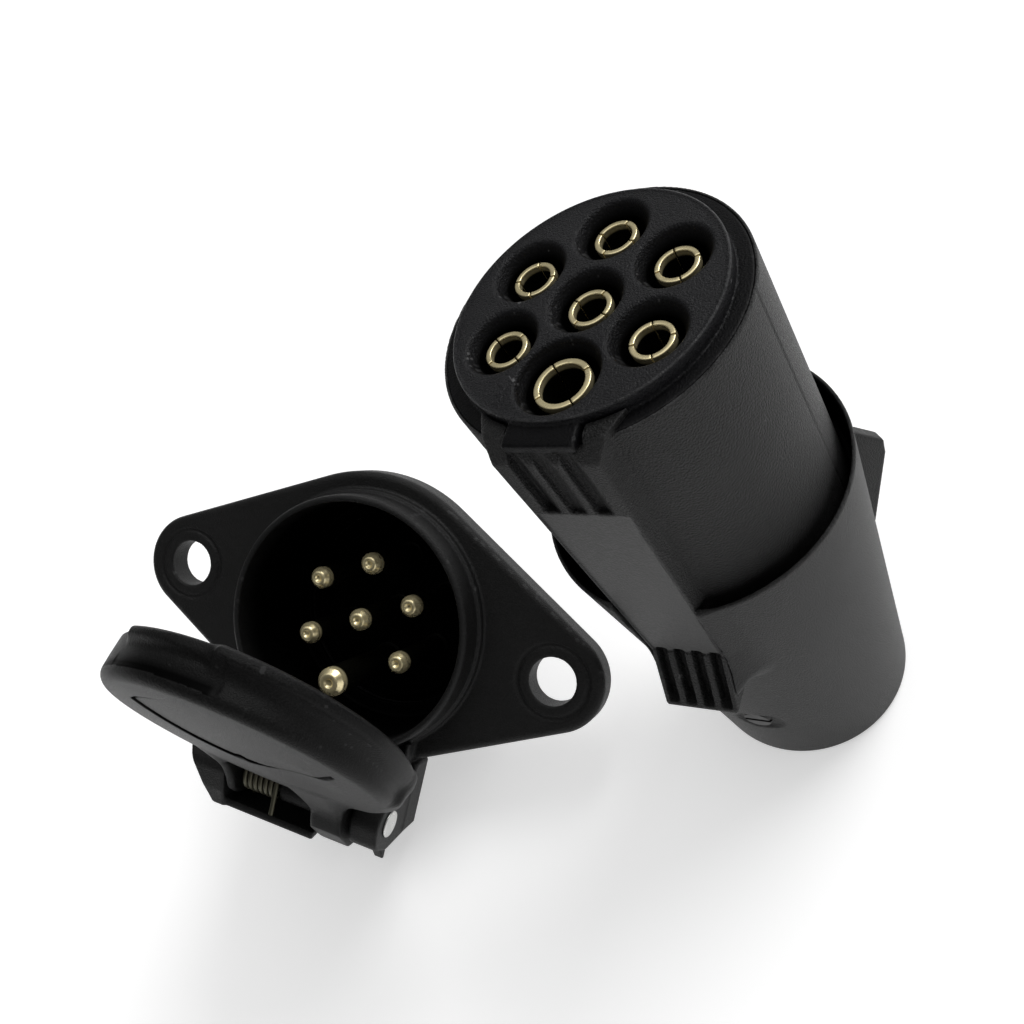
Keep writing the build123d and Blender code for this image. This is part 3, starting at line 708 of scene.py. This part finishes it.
def socket_housing():
    g = Grid((-56.4, -54.3, -20.2), (56.4, 33.4, 21.4), 0.3)
    d = inter(inter(flange_outline(g), g.z - FLANGE_T, 1.5), -g.z, 0.4)
    rear = lathe(g, [(20, -19.5), (25.6, -19.5, 0.6), (28.0, -12.5, 1.0), (28.0, 1.0), (20, 1.0)])
    for x, y in boss_xy():
        boss = inter(hyp(g.x - x, g.y - y) - BOSS_R, slab(g.z, -19.5, 1.0), 0.3)
        rear = join(rear, boss, 0.6)
    d = join(d, rear, 0.6)
    ring = lathe(g, [(20, 5.0), (28.45, 5.0), (28.45, 7.9, 0.5), (20, 7.9)])
    wall = lathe(g, [(20, 5.0), (27.75, 5.0), (27.4, 14.1, 1.0), (20, 14.1)])
    d = join(join(d, ring, 0.5), wall, 0.4)
    # hinge bracket: rail and foot plate, then the two ears
    x0, x1 = EAR_LEFT[0], EAR_RIGHT[1]
    bar = outline(g.y[0], g.z[0], [
        (-44.4, 17.6, 0.5), (-46.3, 17.6, 0.6), (-42.2, 0.0, 0.4), (-40.5, 0.0), (-40.5, 6.2),
        (-43.6, 9.2, 1.0),
    ])[None]
    d = join(d, inter(bar, slab(g.x, x0, 4.6), 0.4), 0.5)
    # the left side spreads towards the flange
    spread = (x0 - g.x - EAR_SPREAD * (g.y + 46.1)) * SPREAD_SCALE
    foot = inter(slab(g.y, -42.2, -27.0), slab(g.z, 0.0, FLANGE_T), 0.4)
    foot = inter(foot, np.maximum(spread, g.x - x1), 0.4)
    d = join(d, foot, 0.5)
    for ear, front in ((EAR_LEFT, (-46.3, 17.6, 0.6)), (EAR_RIGHT, (-44.2, 13.2, 2.2))):
        web = outline(g.y[0], g.z[0], [
            (-27.0, 5.0), (-30.5, 12.0, 2.0), (HINGE_Y + 4.4, 18.6, 3.0),
            (HINGE_Y + 0.6, 20.7, 3.5), (HINGE_Y - 4.8, 19.4, 3.0), front, (-42.2, 0.0, 0.4),
            (-27.0, 0.0),
        ])[None]
        sides = slab(g.x, *ear) if ear is EAR_RIGHT else np.maximum(spread, g.x - ear[1])
        d = join(d, inter(web, sides, 0.45), 0.6)
    # thin vertical webs between the barrel and the right ear
    for x in WEB_STARTS:
        fin = outline(g.y[0], g.z[0], [
            (-22.0, 0.0), (-22.0, 9.2), (-30.5, 9.2, 0.8), (-34.0, 5.0), (-34.0, 0.0),
        ])[None]
        d = join(d, inter(fin, slab(g.x, x, x + WEB_T), 0.3), 0.6)
    # toe that the socket stands on
    toe = outline(g.y[0], g.z[0], [
        (-40.5, 0.0), (-53.36, 0.0, 0.15), (-43.6, 9.0), (-40.5, 9.0),
    ])[None]
    d = join(d, inter(toe, slab(g.x, 12.6, 15.0), 0.15), 0.4)
    pin = hyp(g.y - HINGE_Y, g.z - HINGE_Z) - HINGE_PIN_R
    d = cut(d, inter(pin, slab(g.x, x0 - 2, x1 + 2)), 0.2)
    # flange holes, each with a fine ring round it
    for sx in (-1, 1):
        r = hyp(g.x - sx * HOLE_X, g.y)
        d = cut(d, inter(r - HOLE_R, slab(g.z, -2, 9)), 0.35)
        d = cut(d, inter(np.abs(r - 7.7) - 0.38, 5.9 - g.z), 0.2)
    cavity = lathe(g, [(0, -12.0), (25.9, -12.0, 0.8), (25.9, 20.0), (0, 20.0)])
    d = cut(d, cavity, 0.5)
    bore = lathe(g, [
        (0, -22.0), (23.85, -22.0), (23.85, -13.4), (22.6, -13.4), (22.6, -10.0), (0, -10.0),
    ])
    d = cut(d, bore, 0.1)
    for x, y in boss_xy():
        d = cut(d, inter(hyp(g.x - x, g.y - y) - 1.25, g.z + 10.5))
    return g, d


def cavity_painted_shade(x, y, z):
    """Painted shade: 1 on the walls of the pin cavity, fading out towards the rim."""
    return np.clip((12.5 - z) / 6.0, 0, 1) * (np.hypot(x, y) < 26.1) * (z > -13.0)


build(
    "socket_housing", socket_housing(), SOCK, SOCKET, "socket", "black_plastic", cavity_painted_shade,
)


# radius and tip height of the pins, which pass the insert with a little room
PIN, GROUND_PIN = (2.37, 8.5), (3.15, 15.7)
PIN_ROOM = 0.02


def socket_insert():
    g = Grid((-24.2, -24.2, -19.0), (24.2, 24.2, -12.6), 0.3)
    d = lathe(g, [
        (0, -18.5), (23.8, -18.5, 0.3), (23.8, -14.2, 0.3), (21.2, -14.2), (21.2, -13.2, 0.3),
        (19.8, -13.2, 0.3), (19.8, -14.2), (0, -14.2),
    ])
    for pole, (x, y) in POLE_XY.items():
        r = (GROUND_PIN if pole == "ground" else PIN)[0] + PIN_ROOM
        d = cut(d, hyp(g.x - x, g.y - y) - r)
    return g, d


def floor_painted_shade(x, y, z):
    """Painted shade: 1 on the floor of the pin cavity."""
    return 1.0 * (z > -17)


build(
    "socket_insert", socket_insert(), SOCK, INSERT_PAINTED_SHADE, "socket", "insert_plastic", floor_painted_shade,
)


def contact_pin(r, tip):
    g = Grid((-4.2, -4.2, -23.0), (4.2, 4.2, tip + 0.5), 0.125)
    d = lathe(g, [
        (0, -22.3), (r + 0.45, -22.3), (r + 0.45, -18.5), (r, -18.5), (r, -14.2),
        (r + 0.7, -14.2), (r + 0.7, -13.2, 0.3), (r, -13.2), (r, tip - 1.3, 1.0),
        (r * 0.62, tip, 0.6), (r * 0.36, tip, 0.3), (r * 0.2, tip - 0.45, 0.3), (0, tip - 0.5),
    ])
    d = cut(d, inter(hyp(g.x, g.y) - r * 0.62, g.z + 19.1))
    return g, d


def pin_painted_shade(tip):
    """Bright at the tip; painted shade makes the shaft dark and dull further down."""
    return lambda x, y, z: (tip - 1.7 - z) / 1.2


for big, (r, tip) in ((False, PIN), (True, GROUND_PIN)):
    shaped = contact_pin(r, tip)
    for pole, (x, y) in POLE_XY.items():
        if (pole == "ground") == big:
            place = SOCK.shifted(x, y, 0)
            build("pin_" + pole, shaped, place, BRASS, "socket", "brass", pin_painted_shade(tip))


def rear_cover(end):
    g = Grid((-31.0, -31.0, end), (31.0, 31.0, -19.2), 0.3)
    shelf = end + 5.2
    d = lathe(g, [
        (8.8, end + 1.6), (11.0, end + 1.6), (11.0, shelf), (17.5, shelf, 0.6), (24.3, -21.1, 0.6),
        (25.4, -19.5), (23.4, -19.5), (18.0, shelf + 1.2), (8.8, shelf + 1.2),
    ])
    for x, y in boss_xy():
        lobe = inter(hyp(g.x - x, g.y - y) - BOSS_R, slab(g.z, -21.1, -19.5), 0.3)
        d = join(d, np.maximum(lobe, 24.0 - hyp(g.x, g.y)), 0.4)
    for x, y in boss_xy():
        d = cut(d, hyp(g.x - x, g.y - y) - 1.45)
    return g, d


GLAND_END = -29.26
build("socket_rear_cover", rear_cover(GLAND_END), SOCK, SOCKET, "socket", "black_plastic")


def gland_nut(end):
    g = Grid((-17.8, -17.8, end - 0.4), (17.8, 17.8, end + 5.6), 0.2)
    flat = math.atan2(-sock_y[2], -sock_x[2])
    d = None
    for k in range(6):
        a = flat + k * math.pi / 3
        face = g.x * math.cos(a) + g.y * math.sin(a) - 15.0
        d = face if d is None else inter(d, face, 0.4)
    d = inter(d, hyp(g.x, g.y) - 16.95, 0.3)
    d = inter(inter(d, end - g.z, 0.35), g.z - end - 5.1, 0.35)
    d = cut(d, inter(hyp(g.x, g.y) - 11.05, end + 1.5 - g.z))
    d = cut(d, hyp(g.x, g.y) - 8.0, 0.4)
    return g, d


build("socket_gland_nut", gland_nut(GLAND_END), SOCK, LIDMAT, "socket", "black_plastic")


# -------------------------------------------------------------------- lid
CROWN_R, CROWN_Y, CROWN_Z = 238.0, 9.0, 19.9
LID_Y = -0.8
SCOOP_RING_R, SCOOP_Z, SCOOP_R = 33.4, 15.8, 4.6
LENS_X, LENS_Y, LENS_TILT, LENS_R, LENS_OFFSET = 2.5, 9.5, -7, 23.2, 11.2
EAR_ROOM = 0.7


def lens_edge(x, y):
    """Signed distance in plan to the lens-shaped field of the lid."""
    tilt = math.radians(LENS_TILT)
    u = (x - LENS_X) * math.cos(tilt) + (y - LENS_Y) * math.sin(tilt)
    v = -(x - LENS_X) * math.sin(tilt) + (y - LENS_Y) * math.cos(tilt)
    return np.maximum(hyp(u, v - LENS_OFFSET) - LENS_R, hyp(u, v + LENS_OFFSET) - LENS_R)


def lid():
    g = Grid((-33.6, -44.2, 8.6), (33.9, 33.4, 21.4), 0.22)
    cy = LID_Y
    crown_z = g.z - CROWN_Z + CROWN_R
    crown = np.sqrt(g.x ** 2 + (g.y - CROWN_Y) ** 2 + crown_z ** 2) - CROWN_R
    wall = lathe(g, [
        (0, 9.8), (29.4, 9.8, 0.5), (29.5, 14.0), (29.4, 30.0), (0, 30.0),
    ], 0.4, cy - 0.4)
    d = inter(wall, crown, 2.2)
    # the skirt flares out along the right-hand side and ends in a shoulder by the hinge
    radial = hyp(g.x, g.y - cy)
    side = inter(radial - 32.2, g.x - 30.4, 1.5)
    flare = inter(inter(side, slab(g.z, 9.8, 11.9), 0.7), np.maximum(3.5 - g.x, -12.3 - g.y), 1.0)
    shoulder = inter(box(g, (18.0, 30.4), (-20.2, -8.8), (9.8, 15.8), 1.2), radial - 31.4, 1.0)
    d = join(join(d, shoulder, 2.5), flare, 3.2)
    hollow = lathe(g, [
        (0, 5.0), (28.4, 5.0), (28.4, 15.3), (24.4, 15.3), (20.0, 16.7, 1.5), (0, 17.3),
    ], 0.0, cy)
    # legs to the hinge pin
    for leg, fillet, reach in ((LEG_LEFT, 1.5, 5.4), (LEG_RIGHT, 3.4, 7.9)):
        knuckle = hyp(g.y - HINGE_Y, g.z - HINGE_Z) - reach
        arm = outline(g.y[0], g.z[0], [
            (-16.0, 15.0), (-16.0, 17.4), (-29.0, 15.8 + reach * 0.4, 8.0),
            (HINGE_Y + 1.5, HINGE_Z + reach - 0.2), (HINGE_Y - 3.5, HINGE_Z),
            (HINGE_Y + 2.0, HINGE_Z - 4.6), (-29.0, 10.6, 2.0),
        ])[None]
        plate = inter(join(arm, knuckle[0][None], 1.0), slab(g.x, *leg), 1.2)
        d = join(d, plate, fillet)
    boss = hyp(g.y - HINGE_Y, g.z - HINGE_Z) - 3.5
    boss = inter(boss, slab(g.x, -4.6, LEG_RIGHT[1] - 1), 0.3)
    d = join(d, boss, 0.5)
    # finger lip on the free edge, and the scoop above it
    lip = box(g, (-17.0, 4.5), (14.0, 29.7), (9.8, 12.0), 0.8)
    lip = inter(lip, radial - 30.7, 1.0)
    d = join(d, lip, 1.6)
    scoop = hyp(radial - SCOOP_RING_R, g.z - SCOOP_Z) - SCOOP_R
    scoop = inter(scoop, np.abs(g.x + 6.0) - 13.0, 1.5)
    d = cut(d, np.maximum(scoop, 15.0 - g.y), 0.15)
    d = cut(d, hollow, 0.3)
    d = cut(d, hyp(g.y - HINGE_Y, g.z - HINGE_Z) - LID_EYE_R, 0.2)
    # clear the hinge ears
    for lo, hi in ((-33.0, EAR_LEFT[1] + EAR_ROOM), (EAR_RIGHT[0] - EAR_ROOM, 33.0)):
        d = cut(d, inter(slab(g.x, lo, hi), g.y + 30.2), 0.3)
    # soft hollow in the outer face on the way to the right-hand leg
    dent_x, dent_y, dent_z = (g.x - 13.0) / 2.2, (g.y + 4.0) / 3.4, g.z - CROWN_Z - 4.2
    dent = np.sqrt(dent_x ** 2 + dent_y ** 2 + dent_z ** 2) - 5.4
    d = cut(d, dent, 1.5)
    # blank lens-shaped field with a thin sunk outline
    lens = lens_edge(g.x, g.y)
    d = cut(d, inter(lens, -crown - 0.35), 0.1)
    d = cut(d, inter(np.abs(lens + 0.3) - 0.3, -crown - 0.65), 0.1)
    return g, d


def lid_painted_shade(x, y, z):
    """Painted shade in the line round the blank field and under the crest of the finger scoop."""
    line = np.clip(1.3 - np.abs(lens_edge(x, y) + 0.3) / 0.55, 0, 1) * (z > 17.5)
    radius = hyp(x, y - LID_Y)
    in_scoop = hyp(radius - SCOOP_RING_R, z - SCOOP_Z) < SCOOP_R + 0.1
    under = np.clip((z - 14.6) / 1.6, 0, 1) * in_scoop
    under = under * (y > 15.0) * np.clip((7.5 - x) / 3.0, 0, 1)
    return np.maximum(line, under)


build("lid", lid(), LID, LIDMAT, "lid", "black_plastic", lid_painted_shade)


def hinge_pin():
    g = Grid((-3.4, -3.4, -26.2), (3.4, 3.4, 21.0), 0.15)
    d = lathe(g, [
        (0, -25.6), (HINGE_PIN_R, -25.6, 0.4), (HINGE_PIN_R, 20.03), (2.85, 20.03),
        (2.85, 20.5, 0.3), (0.8, 20.5), (0, 20.35),
    ])
    return g, d


def hinge_pin_painted_shade(x, y, z):
    """Painted shade: 1 all along the pin but its exposed head."""
    return 1.0 * (z < 19.5)


# the pin's own Z runs along the hinge, which is the socket's X
swap = np.stack([sock_m @ np.array(v, float) for v in ((0, 1, 0), (0, 0, 1), (1, 0, 0))], axis=1)
pin_place = Place(SOCK.o + SOCK.m @ hinge, swap)
build("hinge_pin", hinge_pin(), pin_place, STEEL, "socket", "steel", hinge_pin_painted_shade)


def torsion_spring():
    curve = bpy.data.curves.new("torsion_spring_v", "CURVE")
    curve.dimensions = "3D"
    curve.bevel_depth = 0.55 * MM
    curve.bevel_resolution = 6
    curve.use_fill_caps = True
    turns, pitch, radius, x0 = 6.5, 1.3, 3.35, -14.0
    pts = [(x0, -6.2, -radius)]
    count = 240
    for k in range(count + 1):
        a = 2 * math.pi * turns * k / count
        pts.append((x0 + pitch * turns * k / count, radius * math.sin(a), -radius * math.cos(a)))
    pts.append((x0 + pitch * turns, -6.2, radius))
    line = curve.splines.new("POLY")
    line.points.add(len(pts) - 1)
    for point, (x, y, z) in zip(line.points, pts):
        point.co = (*SOCK.world([x, HINGE_Y + y, HINGE_Z + z]), 1.0)
    tmp = bpy.data.objects.new("spring_curve", curve)
    bpy.context.scene.collection.objects.link(tmp)
    mesh = bpy.data.meshes.new_from_object(tmp)
    bpy.data.objects.remove(tmp)
    mesh.shade_smooth()
    return mesh


piece("torsion_spring_v", torsion_spring(), ZINC_PAINTED_SHADE, "socket", "spring_steel", "torsion_spring")


# ------------------------------------------------- materials of kept CAD nodes
for name, node in frame["nodes"].items():
    if node.hide_render:
        continue
    node.data.materials.clear()
    if name == "plug_sleeve_screw":
        node.data.materials.append(BLACKED)
    elif "screw" in name:
        node.data.materials.append(STEEL)
    elif "seal" in name or "grommet" in name:
        node.data.materials.append(RUBBER)
    else:
        node.data.materials.append(SHELL)


# --------------------------------------------------------- floor and lights
FLOOR_HALF = 6
floor_mesh = bpy.data.meshes.new("floor")
h = FLOOR_HALF
floor_mesh.from_pydata([(-h, -h, 0), (h, -h, 0), (h, h, 0), (-h, h, 0)], [], [(0, 1, 2, 3)])
floor = bpy.data.objects.new("floor", floor_mesh)
bpy.context.scene.collection.objects.link(floor)
paper, _, pbsdf, _ = node_tree("floor_paper")
pbsdf.inputs["Base Color"].default_value = (0.86, 0.86, 0.86, 1)
pbsdf.inputs["Roughness"].default_value = 0.9
pbsdf.inputs["Specular IOR Level"].default_value = 0.1
pbsdf.inputs["Emission Color"].default_value = (1, 1, 1, 1)
pbsdf.inputs["Emission Strength"].default_value = 0.5
floor.data.materials.append(paper)


def sun(name, toward, degrees, strength):
    data = bpy.data.lights.new(name, "SUN")
    data.angle = math.radians(degrees)
    data.energy = strength
    obj = bpy.data.objects.new(name, data)
    bpy.context.scene.collection.objects.link(obj)
    obj.rotation_euler = Vector(toward).to_track_quat("Z", "Y").to_euler()


sun("back_light", (0.35, 0.65, 0.67), 35.0, 1.5)
sun("top_light", (0.05, 0.25, 1.0), 70.0, 0.8)

world = bpy.data.worlds.new("studio")
world.use_nodes = True
wtree = world.node_tree
wcoord = wtree.nodes.new("ShaderNodeTexCoord")
parts = wtree.nodes.new("ShaderNodeSeparateXYZ")
wtree.links.new(wcoord.outputs["Generated"], parts.inputs[0])
height = ramp(wtree, parts.outputs["Z"], -0.02, 0.35, 0.85, 0.12)
side = ramp(wtree, parts.outputs["X"], -1.0, 1.0, 0.75, 1.25)
wtree.links.new(times(wtree, height, side), wtree.nodes["Background"].inputs["Strength"])
wtree.nodes["Background"].inputs["Color"].default_value = (1, 1, 1, 1)
bpy.context.scene.world = world
